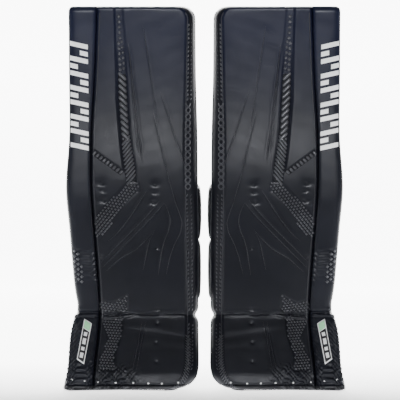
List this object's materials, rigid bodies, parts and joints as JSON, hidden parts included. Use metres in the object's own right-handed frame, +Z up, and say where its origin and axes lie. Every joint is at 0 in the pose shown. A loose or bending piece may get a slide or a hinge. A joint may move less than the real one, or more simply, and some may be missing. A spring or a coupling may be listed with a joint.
{
  "type": "goalie leg pads",
  "caption": "Pair of ice-hockey goalie leg pads, each a curved padded face with an outer roll, a flexing boot and a strapped leg channel behind.",
  "frame": {"origin": "on the floor, below the middle of the bounding box of the pair", "axes": "+Z up the pads, -Y out of the front faces, +X from the right pad to the left pad"},
  "size_m": [0.6342, 0.2878, 0.8694],
  "materials": {
    "leather": "satin",
    "roll_leather": "satin",
    "edge": "satin",
    "foam": "matte",
    "plastic": "matte",
    "nylon": "matte",
    "lining": "matte",
    "webbing": "matte"
  },
  "bodies": {
    "right_boot": {"right_boot_core": "foam", "right_boot_cover": "leather", "right_boot_edge_gusset": "edge", "right_boot_roll_core": "foam", "right_boot_roll_cover": "roll_leather", "right_boot_liner": "lining", "right_boot_inner_wall": "nylon", "right_boot_outer_wall": "nylon", "right_toe_plate": "edge", "right_toe_tab": "leather"},
    "right_pad": {"right_face_core": "foam", "right_stiffener_plate": "plastic", "right_face_cover": "leather", "right_inner_edge_gusset": "edge", "right_outer_roll_core": "foam", "right_outer_roll_cover": "roll_leather", "right_back_cover": "nylon", "right_thigh_liner": "lining", "right_shin_cushion": "lining", "right_calf_wedge": "leather", "right_knee_block": "leather", "right_knee_pad": "lining"},
    "right_inner_calf_wrap": {"right_inner_calf_wrap": "nylon"},
    "right_outer_calf_wrap": {"right_outer_calf_wrap": "nylon"},
    "right_inner_knee_wing": {"right_inner_knee_wing": "nylon"},
    "right_outer_knee_wing": {"right_outer_knee_wing": "nylon"},
    "right_knee_strap": {"right_knee_strap": "webbing"},
    "right_upper_calf_strap": {"right_upper_calf_strap": "webbing"},
    "right_lower_calf_strap": {"right_lower_calf_strap": "webbing"},
    "right_boot_strap": {"right_boot_strap": "webbing"},
    "left_boot": {"left_boot_core": "foam", "left_boot_cover": "leather", "left_boot_edge_gusset": "edge", "left_boot_roll_core": "foam", "left_boot_roll_cover": "roll_leather", "left_boot_liner": "lining", "left_boot_inner_wall": "nylon", "left_boot_outer_wall": "nylon", "left_toe_plate": "edge", "left_toe_tab": "leather"},
    "left_pad": {"left_face_core": "foam", "left_stiffener_plate": "plastic", "left_face_cover": "leather", "left_inner_edge_gusset": "edge", "left_outer_roll_core": "foam", "left_outer_roll_cover": "roll_leather", "left_back_cover": "nylon", "left_thigh_liner": "lining", "left_shin_cushion": "lining", "left_calf_wedge": "leather", "left_knee_block": "leather", "left_knee_pad": "lining"},
    "left_inner_calf_wrap": {"left_inner_calf_wrap": "nylon"},
    "left_outer_calf_wrap": {"left_outer_calf_wrap": "nylon"},
    "left_inner_knee_wing": {"left_inner_knee_wing": "nylon"},
    "left_outer_knee_wing": {"left_outer_knee_wing": "nylon"},
    "left_knee_strap": {"left_knee_strap": "webbing"},
    "left_upper_calf_strap": {"left_upper_calf_strap": "webbing"},
    "left_lower_calf_strap": {"left_lower_calf_strap": "webbing"},
    "left_boot_strap": {"left_boot_strap": "webbing"}
  },
  "joints": [
    {"name": "pads_apart", "type": "slide", "parent": "right_boot", "child": "left_boot", "axis": [1, 0, 0], "range_m": [0, 0.5]},
    {"name": "right_boot_flex", "type": "hinge", "parent": "right_boot", "child": "right_pad", "pos_m": [-0.164, -0.0081, 0.167], "axis": [1, 0, 0], "range_deg": [-20, 15], "stiffness_Nm_per_rad": 30},
    {"name": "right_inner_calf_wrap_hinge", "type": "hinge", "parent": "right_pad", "child": "right_inner_calf_wrap", "pos_m": [-0.039, 0.03648, 0.28002], "axis": [0, 0.2419, -0.9703], "range_deg": [0, 50], "stiffness_Nm_per_rad": 0.6},
    {"name": "right_outer_calf_wrap_hinge", "type": "hinge", "parent": "right_pad", "child": "right_outer_calf_wrap", "pos_m": [-0.267, -0.00039, 0.27082], "axis": [0, -0.2419, 0.9703], "range_deg": [0, 75], "stiffness_Nm_per_rad": 0.6},
    {"name": "right_inner_knee_wing_hinge", "type": "hinge", "parent": "right_pad", "child": "right_inner_knee_wing", "pos_m": [-0.039, 0.02687, 0.41778], "axis": [0, 0.2419, -0.9703], "range_deg": [0, 45], "stiffness_Nm_per_rad": 0.6},
    {"name": "right_outer_knee_wing_hinge", "type": "hinge", "parent": "right_pad", "child": "right_outer_knee_wing", "pos_m": [-0.267, -0.03087, 0.40339], "axis": [0, -0.2419, 0.9703], "range_deg": [0, 60], "stiffness_Nm_per_rad": 0.6},
    {"name": "right_lower_calf_strap_peel", "type": "hinge", "parent": "right_inner_calf_wrap", "child": "right_lower_calf_strap", "pos_m": [-0.055, 0.12403, 0.26783], "axis": [0, 0.2419, -0.9703], "range_deg": [0, 100]},
    {"name": "right_upper_calf_strap_peel", "type": "hinge", "parent": "right_inner_calf_wrap", "child": "right_upper_calf_strap", "pos_m": [-0.055, 0.10903, 0.32799], "axis": [0, 0.2419, -0.9703], "range_deg": [0, 100]},
    {"name": "right_knee_strap_peel", "type": "hinge", "parent": "right_inner_knee_wing", "child": "right_knee_strap", "pos_m": [-0.055, 0.0812, 0.43133], "axis": [0, 0.2419, -0.9703], "range_deg": [0, 100]},
    {"name": "right_boot_strap_peel", "type": "hinge", "parent": "right_boot", "child": "right_boot_strap", "pos_m": [-0.069, 0.04549, 0.05385], "axis": [0, -0.4695, -0.8829], "range_deg": [0, 110]},
    {"name": "left_boot_flex", "type": "hinge", "parent": "left_boot", "child": "left_pad", "pos_m": [0.164, -0.0081, 0.167], "axis": [1, 0, 0], "range_deg": [-20, 15], "stiffness_Nm_per_rad": 30},
    {"name": "left_inner_calf_wrap_hinge", "type": "hinge", "parent": "left_pad", "child": "left_inner_calf_wrap", "pos_m": [0.039, 0.03648, 0.28002], "axis": [0, -0.2419, 0.9703], "range_deg": [0, 50], "stiffness_Nm_per_rad": 0.6},
    {"name": "left_outer_calf_wrap_hinge", "type": "hinge", "parent": "left_pad", "child": "left_outer_calf_wrap", "pos_m": [0.267, -0.00039, 0.27082], "axis": [0, 0.2419, -0.9703], "range_deg": [0, 75], "stiffness_Nm_per_rad": 0.6},
    {"name": "left_inner_knee_wing_hinge", "type": "hinge", "parent": "left_pad", "child": "left_inner_knee_wing", "pos_m": [0.039, 0.02687, 0.41778], "axis": [0, -0.2419, 0.9703], "range_deg": [0, 45], "stiffness_Nm_per_rad": 0.6},
    {"name": "left_outer_knee_wing_hinge", "type": "hinge", "parent": "left_pad", "child": "left_outer_knee_wing", "pos_m": [0.267, -0.03087, 0.40339], "axis": [0, 0.2419, -0.9703], "range_deg": [0, 60], "stiffness_Nm_per_rad": 0.6},
    {"name": "left_lower_calf_strap_peel", "type": "hinge", "parent": "left_inner_calf_wrap", "child": "left_lower_calf_strap", "pos_m": [0.055, 0.12403, 0.26783], "axis": [0, -0.2419, 0.9703], "range_deg": [0, 100]},
    {"name": "left_upper_calf_strap_peel", "type": "hinge", "parent": "left_inner_calf_wrap", "child": "left_upper_calf_strap", "pos_m": [0.055, 0.10903, 0.32799], "axis": [0, -0.2419, 0.9703], "range_deg": [0, 100]},
    {"name": "left_knee_strap_peel", "type": "hinge", "parent": "left_inner_knee_wing", "child": "left_knee_strap", "pos_m": [0.055, 0.0812, 0.43133], "axis": [0, -0.2419, 0.9703], "range_deg": [0, 100]},
    {"name": "left_boot_strap_peel", "type": "hinge", "parent": "left_boot", "child": "left_boot_strap", "pos_m": [0.069, 0.04549, 0.05385], "axis": [0, 0.4695, 0.8829], "range_deg": [0, 110]}
  ]
}
